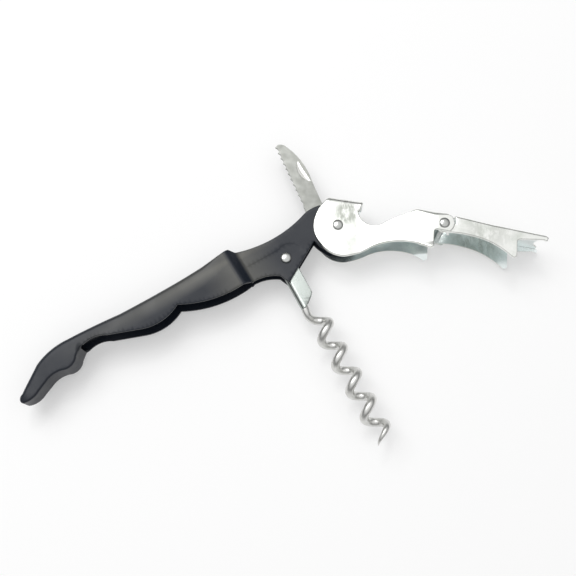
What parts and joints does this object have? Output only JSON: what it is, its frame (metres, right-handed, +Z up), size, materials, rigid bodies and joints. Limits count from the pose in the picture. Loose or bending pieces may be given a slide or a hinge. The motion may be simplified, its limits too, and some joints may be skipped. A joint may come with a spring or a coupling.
{
  "type": "waiters corkscrew",
  "caption": "Folding waiter's corkscrew with a painted sheet-steel handle, two-step lever with cap lifter, wire worm and serrated foil knife, shown opened out.",
  "frame": {"origin": "centre of the bounding box's bottom, on the surface the opened-out tool lies on", "axes": "the tool lies on its side: +X from the handle's tail to the lever's foot, +Y from the worm's point to the knife's point, +Z up along every hinge axis"},
  "size_m": [0.155, 0.0942, 0.0145],
  "materials": {
    "black_paint": "semi-gloss",
    "bright_plate": "bright plated",
    "rivet_steel": "satin",
    "blade_steel": "ground satin",
    "clip_steel": "bright",
    "worm_steel": "bright plated"
  },
  "bodies": {
    "handle": {"handle_shell": "black_paint", "worm_pin": "rivet_steel", "worm_burr": "rivet_steel", "lever_pin": "rivet_steel", "lever_burr": "rivet_steel", "lever_sleeve": "rivet_steel", "lever_washer_front": "rivet_steel", "lever_washer_back": "rivet_steel", "knife_pin": "rivet_steel", "knife_spacer_front": "rivet_steel", "knife_spacer_back": "rivet_steel"},
    "lever": {"lever_arm": "bright_plate", "foot_pin": "rivet_steel", "foot_burr": "rivet_steel", "foot_washer_front": "rivet_steel", "foot_washer_back": "rivet_steel"},
    "foot": {"lever_foot": "bright_plate"},
    "worm": {"worm": "worm_steel", "worm_clip": "clip_steel"},
    "knife": {"knife_blade": "blade_steel"}
  },
  "joints": [
    {"name": "lever_hinge", "type": "hinge", "parent": "handle", "child": "lever", "pos_m": [0.01449, 0.01862, 0.00702], "axis": [0, 0, 1], "range_deg": [-142, 3]},
    {"name": "foot_hinge", "type": "hinge", "parent": "lever", "child": "foot", "pos_m": [0.04631, 0.01816, 0.00702], "axis": [0, 0, 1], "range_deg": [0, 70]},
    {"name": "worm_hinge", "type": "hinge", "parent": "handle", "child": "worm", "pos_m": [-0.00126, 0.00844, 0.00702], "axis": [0, 0, 1], "range_deg": [-92.5, 2.2]},
    {"name": "knife_hinge", "type": "hinge", "parent": "handle", "child": "knife", "pos_m": [0.00929, 0.02022, 0.00702], "axis": [0, 0, -1], "range_deg": [-91, 8]}
  ],
  "couplings": [
    {"joint": "worm_hinge", "follows": "lever_hinge", "ratio": 0.65}
  ]
}
